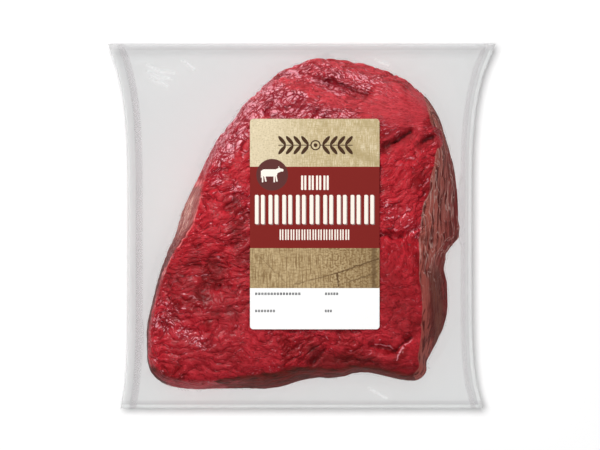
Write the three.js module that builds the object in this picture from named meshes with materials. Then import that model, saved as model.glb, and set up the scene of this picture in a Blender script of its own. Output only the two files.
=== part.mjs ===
import * as THREE from "three";

// A raw topside roasting joint, vacuum-packed in a clear pouch with a paper label stuck on its front.
// The pack lies on its back: X runs across the label, Y up the label, Z up through the meat.
// Sizes are in millimetres. The origin is under the middle of the pack, on the surface it lies on.

// ---- Pouch ----
const POUCH_LENGTH = 226.4; // between the two end seals' outer edges, along Y
const HALF_LENGTH = POUCH_LENGTH / 2;
const WAIST_X = { left: -108.4, right: 105.6 }; // where the sides are pulled in most
const TOP_CORNER_X = { left: -120.4, right: 120.4 };
const BOTTOM_CORNER_X = { left: -112.6, right: 112.4 };
const TOP_FLARE_POWER = 4; // how late the sides turn out towards the top corners
const BOTTOM_FLARE_POWER = 6;
const SEAL_WIDTH = 6; // the welded band along all four edges
const SEAL_STEP = 0.15; // how far each face of the web is pressed in at the seal
const WEB_HEIGHT = 7; // mid-plane of the flat margin above the table
const WEB_THICKNESS = 0.8;
const WEB_RIPPLE = 0.8; // height of the slow waves along the margin
const CORNER_LIFT = 2.5; // how far the four corners curl up
const FILLET_RUN = 7; // where the film leaves the meat and lies down on the margin
const FILLET_RISE = 2.2;

// ---- Joint of beef ----
const CROWN_HEIGHT = 52; // top of the meat under the middle of the label
const CROWN_SAG = { x: 3.2, y: 3.0 }; // how far the crown falls at CROWN_REACH from the middle
const CROWN_REACH = 80;
const NORTH_FALL = { from: 60, reach: 40, drop: 16 }; // the far end slopes away past the label
const WEST_FALL = { from: -45, reach: 48, drop: 5 };
const SHOULDER_DROP = 5; // how far the crown rolls down at its rim
const SHOULDER_POWER = 11; // how close to the rim that roll stays
const BELLY_TUCK = 5; // how far the underside draws in between the margin and the table
const FOOT_TUCK = 13;
const BELLY_HEIGHT = 2.4;

// The joint seen from above, anticlockwise from +X: the foot of its side, and the run of the side
// from the foot in to the rim of the top face. The right-hand side is a slanted cut face.
const JOINT_OUTLINE = [
  { x: 96, y: 1, run: 21 },
  { x: 95, y: 26, run: 19 },
  { x: 89, y: 53, run: 6 },
  { x: 83.5, y: 68, run: 5 },
  { x: 73, y: 83, run: 7 },
  { x: 50, y: 97.5, run: 10 },
  { x: 21, y: 104, run: 12 },
  { x: -5, y: 99.5, run: 11 },
  { x: -31, y: 79, run: 8 },
  { x: -55, y: 52, run: 6 },
  { x: -65, y: 27, run: 5 },
  { x: -76.5, y: 1, run: 9 },
  { x: -83, y: -13, run: 5 },
  { x: -92, y: -38, run: 4 },
  { x: -95.5, y: -70, run: 4 },
  { x: -91, y: -88, run: 5 },
  { x: -76, y: -98.5, run: 6 },
  { x: -50, y: -101, run: 7 },
  { x: -20, y: -98, run: 9 },
  { x: 12, y: -92.5, run: 6 },
  { x: 38, y: -90.5, run: 4 },
  { x: 57, y: -93.8, run: 4 },
  { x: 71, y: -94.5, run: 4 },
  { x: 76, y: -86, run: 6 },
  { x: 88, y: -63, run: 17 },
  { x: 89.5, y: -40, run: 19 },
  { x: 89, y: -24, run: 17 },
  { x: 95, y: -10, run: 21 },
];
// The side's section, as shares of its run and of its rise.
const SIDE_SECTION = [
  [0, 0],
  [0.12, 0.22],
  [0.3, 0.48],
  [0.52, 0.72],
  [0.76, 0.9],
];

// Shallow ribs down the cut sides, where the fibres and the film bunch up.
const SIDE_RIBS = { size: 13, height: 1.3, seed: 21 };

// Lumps over the meat: waves of each size, the finer ones lower.
const LUMPS = [
  { size: 27, height: 1.7 },
  { size: 14, height: 1.0 },
];
const LUMP_SEED = 7;
// Folds and cuts between the muscles, as a line, its depth and its half-width.
const FOLDS = [
  { from: [48, 45], to: [68, 59], depth: 5, reach: 6 },
  { from: [70, 49], to: [84, 60], depth: 5, reach: 5 },
  { from: [14, 90], to: [44, 78], depth: 3.4, reach: 6 },
  { from: [40, -73], to: [57, -77], depth: 3.4, reach: 5 },
  { from: [56, -80], to: [71, -68], depth: 3.4, reach: 5 },
  { from: [-92, -66], to: [-50, -62], depth: 2.4, reach: 6 },
  { from: [48, -4], to: [75, -10], depth: 2.6, reach: 5 },
];
// Hollows in the top face: middle, radius and depth.
const HOLLOWS = [
  { at: [-56, -30], radius: 24, depth: 4.2 },
  { at: [12, -79], radius: 15, depth: 3 },
  { at: [62, -46], radius: 16, depth: 2 },
];

// ---- Label ----
const LABEL_WIDTH = 80;
const LABEL_LENGTH = 130;
const LABEL_CENTRE = { x: 7.9, y: 1.2 };
const LABEL_CORNER = 2;
const LABEL_THICKNESS = 0.4;
const LABEL_GAP = 0.5; // keeps the two faceted solids apart
const LABEL_CALM = 9; // the meat is pressed smooth this far round the label

// ---- Facets ----
const SPOKES = 116;
const CROWN_RINGS = 13;
const LABEL_RINGS = 5;
const LABEL_EDGE_STEP = 10;

const MATERIALS = {
  pouch: new THREE.MeshStandardMaterial({ color: 0x9c2a31, roughness: 0.3, metalness: 0 }),
  label: new THREE.MeshStandardMaterial({ color: 0xd6c59c, roughness: 0.6, metalness: 0 }),
};

// A closed body from rings of equally many points, from its top pole down to its bottom pole.
function skin(topPole, rings, bottomPole) {
  const count = rings[0].length;
  const points = [topPole, ...rings.flat(), bottomPole];
  const last = points.length - 1;
  const faces = [];
  for (let i = 0; i < count; i++) {
    const next = (i + 1) % count;
    faces.push(0, 1 + i, 1 + next);
    for (let ring = 0; ring < rings.length - 1; ring++) {
      const upper = 1 + ring * count;
      const lower = upper + count;
      faces.push(upper + i, lower + i, lower + next);
      faces.push(upper + i, lower + next, upper + next);
    }
    const foot = last - count;
    faces.push(last, foot + next, foot + i);
  }
  const geometry = new THREE.BufferGeometry().setFromPoints(
    points.map(([x, y, z]) => new THREE.Vector3(x, y, z)),
  );
  geometry.setIndex(faces);
  geometry.computeVertexNormals();
  return geometry;
}

const smooth = THREE.MathUtils.smoothstep;

// A value between 0 and 1 that always belongs to the same corner of the lump grid.
function cornerValue(i, j, seed) {
  const mixed = Math.sin(i * 127.1 + j * 311.7 + seed * 74.7) * 43758.5453;
  return mixed - Math.floor(mixed);
}

// Smooth waves of about the given size, from -1 to 1.
function waves(x, y, size, seed) {
  const i = Math.floor(x / size);
  const j = Math.floor(y / size);
  const u = smooth(x / size - i, 0, 1);
  const v = smooth(y / size - j, 0, 1);
  const near = THREE.MathUtils.lerp(cornerValue(i, j, seed), cornerValue(i + 1, j, seed), u);
  const far = THREE.MathUtils.lerp(cornerValue(i, j + 1, seed), cornerValue(i + 1, j + 1, seed), u);
  return 2 * THREE.MathUtils.lerp(near, far, v) - 1;
}

function distanceToLine(x, y, [ax, ay], [bx, by]) {
  const share = ((x - ax) * (bx - ax) + (y - ay) * (by - ay)) / ((bx - ax) ** 2 + (by - ay) ** 2);
  const t = THREE.MathUtils.clamp(share, 0, 1);
  return Math.hypot(x - ax - t * (bx - ax), y - ay - t * (by - ay));
}

// 0 under the label, where the meat is pressed smooth, and 1 clear of it.
function clearOfLabel(x, y) {
  const dx = Math.abs(x - LABEL_CENTRE.x) - LABEL_WIDTH / 2;
  const dy = Math.abs(y - LABEL_CENTRE.y) - LABEL_LENGTH / 2;
  const outside = Math.hypot(Math.max(dx, 0), Math.max(dy, 0));
  return smooth(outside, LABEL_CALM / 2, 2 * LABEL_CALM);
}

// The smooth crown that the label lies on.
function crown(x, y) {
  const north = Math.max(0, (y - NORTH_FALL.from) / NORTH_FALL.reach);
  const west = Math.max(0, (WEST_FALL.from - x) / WEST_FALL.reach);
  return (
    CROWN_HEIGHT -
    CROWN_SAG.x * (x / CROWN_REACH) ** 2 -
    CROWN_SAG.y * (y / CROWN_REACH) ** 2 -
    NORTH_FALL.drop * north ** 2 -
    WEST_FALL.drop * west ** 2
  );
}

function relief(x, y) {
  let height = 0;
  LUMPS.forEach((lump, k) => {
    height += lump.height * waves(x, y, lump.size, LUMP_SEED + k);
  });
  for (const fold of FOLDS) {
    height -= fold.depth * (1 - smooth(distanceToLine(x, y, fold.from, fold.to), 0, fold.reach));
  }
  for (const hollow of HOLLOWS) {
    const away = Math.hypot(x - hollow.at[0], y - hollow.at[1]);
    height -= hollow.depth * (1 - smooth(away, 0, hollow.radius));
  }
  return height * clearOfLabel(x, y);
}

// A smooth closed curve through named values given by angle: each value at any angle.
function roundTrip(rows, value) {
  const knots = rows
    .map((row) => ({ angle: Math.atan2(row.y, row.x), value: value(row) }))
    .sort((a, b) => a.angle - b.angle);
  const count = knots.length;
  const knot = (k) => {
    const lap = Math.floor(k / count);
    const { angle, value: held } = knots[k - lap * count];
    return { angle: angle + lap * 2 * Math.PI, value: held };
  };
  const slope = (k) =>
    (knot(k + 1).value - knot(k - 1).value) / (knot(k + 1).angle - knot(k - 1).angle);
  return (angle) => {
    let k = knots.findIndex((row) => row.angle > angle) - 1;
    if (k < -1) k = count - 1;
    const a = knot(k);
    const b = knot(k + 1);
    const span = b.angle - a.angle;
    const t = (angle - a.angle) / span;
    return (
      a.value * (1 + 2 * t) * (1 - t) ** 2 +
      b.value * t * t * (3 - 2 * t) +
      span * (slope(k) * t * (1 - t) ** 2 - slope(k + 1) * t * t * (1 - t))
    );
  };
}
const footRadius = roundTrip(JOINT_OUTLINE, (row) => Math.hypot(row.x, row.y));
const sideRun = roundTrip(JOINT_OUTLINE, (row) => row.run);

// The pouch's left or right edge at a height along Y.
function sideEdge(side, y) {
  const upper = y > 0;
  const corner = upper ? TOP_CORNER_X[side] : BOTTOM_CORNER_X[side];
  const power = upper ? TOP_FLARE_POWER : BOTTOM_FLARE_POWER;
  return WAIST_X[side] + (corner - WAIST_X[side]) * Math.abs(y / HALF_LENGTH) ** power;
}

// How far out a ray from the origin meets the pouch's outline, taken in by inset all round.
function edgeRadius(angle, inset) {
  const [dx, dy] = [Math.cos(angle), Math.sin(angle)];
  const inside = (r) =>
    Math.abs(r * dy) <= HALF_LENGTH - inset &&
    r * dx >= sideEdge("left", r * dy) + inset &&
    r * dx <= sideEdge("right", r * dy) - inset;
  let low = 0;
  let high = 2 * HALF_LENGTH;
  for (let step = 0; step < 40; step++) {
    const middle = (low + high) / 2;
    if (inside(middle)) low = middle;
    else high = middle;
  }
  return low;
}

// The height of the margin's mid-plane: slow ripples, and corners that curl up.
function webHeight(x, y) {
  const ripple = Math.sin(x / 23 + 1.2) * Math.cos(y / 29 - 0.5);
  const corner = Math.abs(x / TOP_CORNER_X.right) ** 4 * Math.abs(y / HALF_LENGTH) ** 4;
  return WEB_HEIGHT + WEB_RIPPLE * ripple + CORNER_LIFT * corner;
}

// Directions round the pack, evenly spread between its four corners, which are all among them.
function spokeAngles() {
  const corners = [
    Math.atan2(-HALF_LENGTH, BOTTOM_CORNER_X.right),
    Math.atan2(HALF_LENGTH, TOP_CORNER_X.right),
    Math.atan2(HALF_LENGTH, TOP_CORNER_X.left),
    Math.atan2(-HALF_LENGTH, BOTTOM_CORNER_X.left) + 2 * Math.PI,
  ];
  const angles = [];
  corners.forEach((from, k) => {
    const to = k < 3 ? corners[k + 1] : corners[0] + 2 * Math.PI;
    const count = Math.round((SPOKES * (to - from)) / (2 * Math.PI));
    for (let i = 0; i < count; i++) angles.push(from + ((to - from) * i) / count);
  });
  return angles.map((angle) => Math.atan2(Math.sin(angle), Math.cos(angle)));
}

function pouchGeometry() {
  const spokes = spokeAngles().map((angle) => ({
    dx: Math.cos(angle),
    dy: Math.sin(angle),
    foot: footRadius(angle),
    rim: footRadius(angle) - sideRun(angle),
    seal: edgeRadius(angle, SEAL_WIDTH),
    edge: edgeRadius(angle, 0),
  }));
  const ring = (radius, height) =>
    spokes.map((s) => {
      const r = radius(s);
      return [r * s.dx, r * s.dy, height(r * s.dx, r * s.dy, s)];
    });
  const half = WEB_THICKNESS / 2;
  const upperWeb = (x, y) => webHeight(x, y) + half;
  const lowerWeb = (x, y) => webHeight(x, y) - half;
  const rimHeight = (s) => {
    const [x, y] = [s.rim * s.dx, s.rim * s.dy];
    return crown(x, y) + relief(x, y) - SHOULDER_DROP;
  };

  const rib = (s) =>
    SIDE_RIBS.height * waves(s.foot * s.dx, s.foot * s.dy, SIDE_RIBS.size, SIDE_RIBS.seed);

  const rings = [];
  for (let k = 1; k <= CROWN_RINGS; k++) {
    const share = Math.sin((k / CROWN_RINGS) * (Math.PI / 2)); // closer together at the rim
    const roll = SHOULDER_DROP * share ** SHOULDER_POWER;
    rings.push(ring((s) => s.rim * share, (x, y) => crown(x, y) + relief(x, y) - roll));
  }
  for (const [run, rise] of [...SIDE_SECTION].reverse()) {
    const bulge = Math.sin(Math.PI * rise);
    rings.push(
      ring(
        (s) => s.foot - run * (s.foot - s.rim) + bulge * rib(s),
        (x, y, s) => {
          const low = upperWeb(x, y) + FILLET_RISE;
          return low + rise * (rimHeight(s) - low);
        },
      ),
    );
  }
  const filletEnd = (s) => Math.min(s.foot + FILLET_RUN, (s.foot + s.seal) / 2);
  rings.push(
    ring((s) => (s.foot + filletEnd(s)) / 2, (x, y) => upperWeb(x, y) + FILLET_RISE / 4),
    ring(filletEnd, upperWeb),
    ring((s) => s.seal, upperWeb),
    ring((s) => s.seal + 0.15 * (s.edge - s.seal), (x, y) => upperWeb(x, y) - SEAL_STEP),
    ring((s) => s.edge, (x, y) => upperWeb(x, y) - SEAL_STEP),
    ring((s) => s.edge, (x, y) => lowerWeb(x, y) + SEAL_STEP),
    ring((s) => s.seal + 0.15 * (s.edge - s.seal), (x, y) => lowerWeb(x, y) + SEAL_STEP),
    ring((s) => s.seal, lowerWeb),
    ring((s) => s.foot, lowerWeb),
    ring((s) => s.foot - BELLY_TUCK, () => BELLY_HEIGHT),
    ring((s) => s.foot - FOOT_TUCK, () => 0),
  );
  return skin([0, 0, crown(0, 0)], rings, [0, 0, 0]);
}

// One lap of a rectangle with round corners, anticlockwise from the right-hand side.
function labelOutline() {
  const straight = { x: LABEL_WIDTH / 2 - LABEL_CORNER, y: LABEL_LENGTH / 2 - LABEL_CORNER };
  const corner = 4; // steps round each corner
  const outline = [];
  [[1, 1], [-1, 1], [-1, -1], [1, -1]].forEach(([sx, sy], k) => {
    for (let i = 0; i <= corner; i++) {
      const angle = ((k + i / corner) * Math.PI) / 2;
      outline.push([
        sx * straight.x + LABEL_CORNER * Math.cos(angle),
        sy * straight.y + LABEL_CORNER * Math.sin(angle),
      ]);
    }
    const alongY = k % 2 === 1;
    const length = 2 * (alongY ? straight.y : straight.x);
    const steps = Math.round(length / LABEL_EDGE_STEP);
    const [x, y] = outline[outline.length - 1];
    for (let i = 1; i < steps; i++) {
      const way = (i / steps) * length;
      outline.push(alongY ? [x, y - sy * way] : [x - sx * way, y]);
    }
  });
  return outline;
}

function labelGeometry() {
  const outline = labelOutline();
  const at = (x, y, lift) => {
    const [px, py] = [x + LABEL_CENTRE.x, y + LABEL_CENTRE.y];
    return [px, py, crown(px, py) + LABEL_GAP + lift];
  };
  const laps = [];
  for (let k = 1; k <= LABEL_RINGS; k++) laps.push(k / LABEL_RINGS);
  const face = (shares, lift) =>
    shares.map((share) => outline.map(([x, y]) => at(share * x, share * y, lift)));
  const rings = [...face(laps, LABEL_THICKNESS), ...face([...laps].reverse(), 0)];
  return skin(at(0, 0, LABEL_THICKNESS), rings, at(0, 0, 0));
}

function namedMesh(name, geometry) {
  const mesh = new THREE.Mesh(geometry, MATERIALS[name]);
  mesh.name = name;
  return mesh;
}

const pack = new THREE.Group();
pack.add(namedMesh("pouch", pouchGeometry()));
pack.add(namedMesh("label", labelGeometry()));

export default pack;
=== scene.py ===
# %% [markdown]
# # A beef joint in a vacuum pack
# A raw roasting joint lies in a clear pouch, with a paper label on its front. Three pieces are made here:
# the joint of beef, the film that grips it, and the label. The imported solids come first, as a fixed frame:
# they already have the right size and place, so every new piece starts from them and nothing is fitted by
# eye.

# %% Load the frame
import math
import bmesh
import bpy
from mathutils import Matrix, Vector
from mathutils.bvhtree import BVHTree


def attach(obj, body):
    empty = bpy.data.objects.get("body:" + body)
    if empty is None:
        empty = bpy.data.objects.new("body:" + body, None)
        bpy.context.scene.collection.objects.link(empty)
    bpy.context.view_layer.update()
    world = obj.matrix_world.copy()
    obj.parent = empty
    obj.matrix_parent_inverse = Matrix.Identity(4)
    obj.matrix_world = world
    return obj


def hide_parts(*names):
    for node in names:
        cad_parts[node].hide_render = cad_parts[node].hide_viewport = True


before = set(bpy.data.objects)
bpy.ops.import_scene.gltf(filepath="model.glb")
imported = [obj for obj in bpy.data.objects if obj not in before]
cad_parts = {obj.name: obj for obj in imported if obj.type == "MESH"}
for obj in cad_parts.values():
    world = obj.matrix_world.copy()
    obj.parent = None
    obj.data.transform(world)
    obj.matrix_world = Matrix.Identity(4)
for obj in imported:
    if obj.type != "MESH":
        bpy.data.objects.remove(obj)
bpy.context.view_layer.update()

MM = 0.001  # one millimetre, in Blender's metres

# %% [markdown]
# ## Working by hand, in code
# An operator acts on whatever is selected in the active object. These helpers do what a modeller's mouse
# does: pick one object, pick faces or points by their place, and apply a modifier.


# %% Helpers for selecting and shaping
def take_in_hand(piece):
    bpy.ops.object.select_all(action="DESELECT")
    piece.select_set(True)
    bpy.context.view_layer.objects.active = piece


def copy_of_solid(node, name):
    """A new piece with its own copy of a solid's mesh, its loose triangles merged."""
    piece = bpy.data.objects.new(name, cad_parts[node].data.copy())
    bpy.context.scene.collection.objects.link(piece)
    take_in_hand(piece)
    piece.data.materials.clear()
    bpy.ops.mesh.customdata_custom_splitnormals_clear()
    bpy.ops.object.mode_set(mode="EDIT")
    bpy.ops.mesh.select_all(action="SELECT")
    bpy.ops.mesh.remove_doubles(threshold=0.001 * MM)
    bpy.ops.mesh.tris_convert_to_quads()
    bpy.ops.object.mode_set(mode="OBJECT")
    return piece


def pick(piece, kind, wanted):
    """Selects the points, edges or faces of a piece for which wanted is true. Leaves edit mode on."""
    if piece.mode != "EDIT":
        bpy.ops.object.mode_set(mode="EDIT")
    bpy.ops.mesh.select_mode(type=kind)
    bpy.ops.mesh.select_all(action="DESELECT")
    shape = bmesh.from_edit_mesh(piece.data)
    count = 0
    for part in {"VERT": shape.verts, "EDGE": shape.edges, "FACE": shape.faces}[kind]:
        if wanted(part):
            part.select_set(True)
            count += 1
    bmesh.update_edit_mesh(piece.data)
    return count


def apply_modifier(piece, kind, **settings):
    take_in_hand(piece)
    modifier = piece.modifiers.new(kind.lower(), kind)
    for key, value in settings.items():
        setattr(modifier, key, value)
    bpy.ops.object.modifier_apply(modifier=modifier.name)


def share_of(value, start, end):
    """0 where value is at start or before it, 1 at end or past it, and straight between."""
    return min(1, max(0, (value - start) / (end - start)))


# %% [markdown]
# ## Wiring nodes, in code
# Geometry nodes and shader nodes are wired the same way, so both share these helpers. Each adds a node and
# hands back its output, and so a line of code reads like a line of arithmetic, though the result is a tree
# of nodes.


# %% Helpers for arithmetic with nodes
def plug(tree, node, sockets):
    """Sets a node's sockets, given by name or number, to plain values or links them to outputs."""
    for key, value in sockets.items():
        if isinstance(value, bpy.types.NodeSocket):
            tree.links.new(value, node.inputs[key])
        else:
            node.inputs[key].default_value = value


def put(tree, kind, sockets=None, output=0, **settings):
    """Adds a node, plugs its sockets, and returns one of its outputs."""
    node = tree.nodes.new(kind)
    for key, value in settings.items():
        setattr(node, key, value)
    plug(tree, node, sockets or {})
    return node.outputs[output] if node.outputs else None


def calc(tree, operation, first, *others):
    """Works through a chain of numbers from left to right."""
    if not others:
        return put(tree, "ShaderNodeMath", {0: first}, operation=operation)
    for other in others:
        first = put(tree, "ShaderNodeMath", {0: first, 1: other}, operation=operation)
    return first


def times(tree, *values):
    return calc(tree, "MULTIPLY", *values)


def plus(tree, *values):
    return calc(tree, "ADD", *values)


def minus(tree, *values):
    return calc(tree, "SUBTRACT", *values)


def highest(tree, *values):
    return calc(tree, "MAXIMUM", *values)


def ramp(tree, value, start, end, low=0.0, high=1.0):
    """low where value is at start or before it, high at end or past it, and a smooth change between."""
    sockets = {"Value": value, "From Min": start, "From Max": end, "To Min": low, "To Max": high}
    return put(tree, "ShaderNodeMapRange", sockets, interpolation_type="SMOOTHSTEP")


# %% Helpers for places
def vector(tree, operation, *values):
    length = operation in ("LENGTH", "DISTANCE", "DOT_PRODUCT")
    return put(tree, "ShaderNodeVectorMath", dict(enumerate(values)), int(length), operation=operation)


def scaled(tree, direction, by):
    return put(tree, "ShaderNodeVectorMath", {0: direction, "Scale": by}, operation="SCALE")


def in_mm(tree, place):
    return vector(tree, "MULTIPLY", place, (1000, 1000, 1000))


def split(tree, place, axes=(0, 1, 2)):
    return [put(tree, "ShaderNodeSeparateXYZ", {0: place}, axis) for axis in axes]


def away_from(tree, at, start, end):
    """How far a point lies from a line, seen from above, in mm."""
    along = (end[0] - start[0], end[1] - start[1], 0)
    length = math.hypot(*along)
    flat = vector(tree, "MULTIPLY", vector(tree, "SUBTRACT", at, (*start, 0)), (1, 1, 0))
    share = calc(tree, "DIVIDE", vector(tree, "DOT_PRODUCT", flat, along), length * length)
    nearest = scaled(tree, along, put(tree, "ShaderNodeClamp", {0: share}))
    return vector(tree, "DISTANCE", flat, nearest)


def beside(tree, at, start, end, inner, outer, share=1.0):
    """share within inner mm of a line, fading to 0 at outer mm from it."""
    return ramp(tree, away_from(tree, at, start, end), inner, outer, share, 0.0)


def beside_any(tree, at, lines):
    """The highest share beside any line of a list, each given by what beside takes."""
    return highest(tree, *[beside(tree, at, *line) for line in lines])


# %% Helpers for colour
def paint(red, green, blue):
    """A colour given as it looks on a screen, 0 to 255, as the linear colour that shaders take."""
    def linear(level):
        level /= 255
        return level / 12.92 if level <= 0.04045 else ((level + 0.055) / 1.055) ** 2.4
    return (linear(red), linear(green), linear(blue), 1.0)


def painted(tree, colour, *coats):
    """A colour with coats laid over it in turn, each given by its share and its colour."""
    for share, coat in coats:
        colour = put(tree, "ShaderNodeMix", {"Factor": share, 6: colour, 7: coat}, 2, data_type="RGBA")
    return colour


def new_finish(name):
    finish = bpy.data.materials.new(name)
    finish.use_nodes = True
    return finish, finish.node_tree, finish.node_tree.nodes["Principled BSDF"]


def read(tree, name, output="Fac"):
    """What the mesh of a piece has stored under a name."""
    return put(tree, "ShaderNodeAttribute", output=output, attribute_name=name)


# %% [markdown]
# ## Table, light and camera
# The pack lies on a white table and is seen from straight above through a long lens, so that nothing is
# foreshortened. Meat, film and table each ask for a light of their own, as in a studio, so there are five
# lamps and each is linked, at the end, to what it is meant for. The key lamp is large and soft. It stands
# beyond the upper left corner and draws the relief of the meat, and a wide fill lamp overhead keeps its
# shadows open. The shine lamp is seen only as a gloss on the wet slopes. The film lamp covers the whole sky,
# so loose film looks evenly milky. The table lamp whitens the table, and a scrim, a veil the shape of the
# pouch that nobody sees, shades the table from it. So the pouch throws a narrow soft shadow past its right
# and lower edges, while the tall meat doesn't darken the margin beside it.

# %% Camera
IMAGE_WIDTH = 600  # pixels
PIXEL = 0.62 * MM  # on the pack
LENS = 800  # mm
SENSOR = 36  # mm
VIEW_CENTRE = Vector((-1.2 * MM, 0.6 * MM, 20 * MM))

camera_data = bpy.data.cameras.new("camera")
camera_data.lens = LENS
camera_data.sensor_width = SENSOR
camera = bpy.data.objects.new("camera", camera_data)
camera.location = VIEW_CENTRE + Vector((0, 0, IMAGE_WIDTH * PIXEL * LENS / SENSOR))
bpy.context.scene.collection.objects.link(camera)
bpy.context.scene.camera = camera
print("camera", round(camera.location.z, 3), "m up")

# %% Lamps
LAMP_AWAY = 3.0  # metres
LAMPS = {  # toward which side each one stands, its width in metres and its power in watts
    "key_lamp": ((-0.42, 0.68, 0.66), 1.5, 86),
    "fill_lamp": ((0.3, -0.25, 1.0), 6.0, 74),
    "table_lamp": ((-0.2, 0.2, 1.0), 3.0, 120),
    "shine_lamp": ((-0.4, 0.4, 1.0), 1.5, 90),
    "film_lamp": ((0.0, 0.0, 1.0), 14.0, 400),
}


def softbox(name, direction, width, power):
    """A round lamp of that width, facing the pack from the direction it is given."""
    light = bpy.data.lights.new(name, "AREA")
    light.shape = "DISK"
    light.size = width
    light.energy = power
    lamp = bpy.data.objects.new(name, light)
    toward = Vector(direction).normalized()
    lamp.location = toward * LAMP_AWAY
    lamp.rotation_euler = toward.to_track_quat("Z", "Y").to_euler()
    lamp.visible_camera = False
    bpy.context.scene.collection.objects.link(lamp)
    return lamp


lamps = {name: softbox(name, *facts) for name, facts in LAMPS.items()}
lamps["shine_lamp"].visible_diffuse = False
lamps["film_lamp"].visible_glossy = False
print(len(lamps), "lamps")

# %% Studio
STUDIO_LIGHT = 0.1  # brightness all round

world = bpy.data.worlds.new("studio")
world.use_nodes = True
plug(world.node_tree, world.node_tree.nodes["Background"], {"Color": (1, 1, 1, 1), "Strength": STUDIO_LIGHT})
world.cycles.sampling_method = "NONE"  # light from all round comes by bounces alone, past the scrim
bpy.context.scene.world = world
bpy.context.scene.view_settings.view_transform = "Standard"
bpy.context.scene.cycles.transparent_max_bounces = 16

# %% Table
TABLE_WIDTH = 14  # metres
TABLE_DROP = 0.1 * MM  # it lies this far under the pack, so that no two faces share a place

bpy.ops.object.select_all(action="DESELECT")
bpy.ops.mesh.primitive_plane_add(size=TABLE_WIDTH, location=(0, 0, -TABLE_DROP))
table = bpy.context.object
table.name = "table"
white, tree, shell = new_finish("white_table")
plug(tree, shell, {"Base Color": (0.92, 0.92, 0.92, 1), "Roughness": 0.9, "Specular IOR Level": 0.1})
table.data.materials.append(white)

# %% [markdown]
# ## The joint: blocking it out
# The joint fills the pouch, so the solid of the pouch is the joint plus its flat margin. The margin is cut
# off by selecting every face at the margin's height, and the two open loops that are left, the foot of the
# upper side and the top of the underside, are bridged. That gives the whole lump with the right outline from
# any side.

# %% Cut the margin off
MARGIN_LOW = 5.3 * MM  # every face of the margin has its middle between these heights
MARGIN_HIGH = 11.3 * MM

beef = copy_of_solid("pouch", "beef_joint")
cut = pick(beef, "FACE", lambda f: MARGIN_LOW < f.calc_center_median().z < MARGIN_HIGH)
bpy.ops.mesh.delete(type="FACE")
pick(beef, "EDGE", lambda e: e.is_boundary)
bpy.ops.mesh.bridge_edge_loops()
bpy.ops.object.mode_set(mode="OBJECT")
print("cut off", cut, "faces; the lump has", len(beef.data.polygons))

# %% [markdown]
# ## The joint: an even skin
# The lump's faces are long and narrow. Subdivision rounds them, and a voxel remesh then gives even squares
# about a millimetre wide, fine enough to carry the bundles of fibre. A little smoothing takes the steps out.

# %% Round and remesh
SKIN_STEP = 1.02 * MM
FILM_ROOM = 0.3 * MM  # the joint stays this far inside the solid, to leave room for the film
SWELL = 1.5 * MM  # the smoothing and the relief draw the flanks in, so they are first let out by this much
SWELL_FROM = (1 * MM, 6 * MM)  # which begins and is full at these heights

apply_modifier(beef, "SUBSURF", levels=2, render_levels=2)
apply_modifier(beef, "DISPLACE", strength=-FILM_ROOM, mid_level=0.0)
apply_modifier(beef, "REMESH", mode="VOXEL", voxel_size=SKIN_STEP)
apply_modifier(beef, "SMOOTH", factor=0.5, iterations=5)
flanks = beef.vertex_groups.new(name="flanks")
for point in beef.data.vertices:
    steepness = 1 - abs(point.normal.z)
    flanks.add([point.index], share_of(point.co.z, *SWELL_FROM) * steepness, "REPLACE")
apply_modifier(beef, "DISPLACE", strength=SWELL, mid_level=0.0, vertex_group="flanks")
print("skin of", len(beef.data.polygons), "faces")

# %% [markdown]
# The last corrections of the outline are made as with a hand: the flank is taken hold of at one place and
# pulled out or pushed in, and proportional editing draws the meat round it along.

# %% Pull the flanks into shape
FINGERTIP = 4 * MM  # points within this of the place are taken hold of
FOOT = 5 * MM  # and none lower than this
PULLS = [  # where, seen from above, which way and how far, and the reach over which it fades, all in mm
    ((-55, 55), (1.9, -1.3), 30), ((-83, -14), (1.8, -0.3), 24), ((-92, -42), (2.2, 0), 24),
    ((-88, -92), (-2.2, -2.2), 20), ((94, -4), (1.3, 0), 6), ((93, -13), (-1.6, 0), 5),
    ((89, -22), (-1.8, 0), 10), ((84, -74), (-1.3, 0.8), 22), ((36, 101), (-0.3, -1.4), 28),
    ((71, -92), (2.2, -0.4), 8), ((47, -91), (0, 1.0), 18), ((-18, -97), (0, -1.8), 15),
    ((21, -91), (0, -1.6), 9), ((-50, -100), (0, 1.0), 16), ((87, 52), (-0.4, 0), 14),
]

for at, shift, reach in PULLS:
    middle = Vector(at) * MM
    pick(beef, "VERT", lambda v: v.co.z > FOOT and (v.co.xy - middle).length < FINGERTIP)
    bpy.ops.transform.translate(value=(shift[0] * MM, shift[1] * MM, 0), use_proportional_edit=True,
                                proportional_size=reach * MM, proportional_edit_falloff="SMOOTH")
bpy.ops.object.mode_set(mode="OBJECT")
print(len(PULLS), "pulls")

# %% [markdown]
# ## The joint: telling its faces apart
# The top is cut across the grain, the right-hand and near sides along it, so they look different. Before
# anything more is done to the shape, a small tree of geometry nodes writes two things into the mesh for
# later steps: where each point lies on the smooth lump, and how far it belongs to each of three sides.

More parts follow.
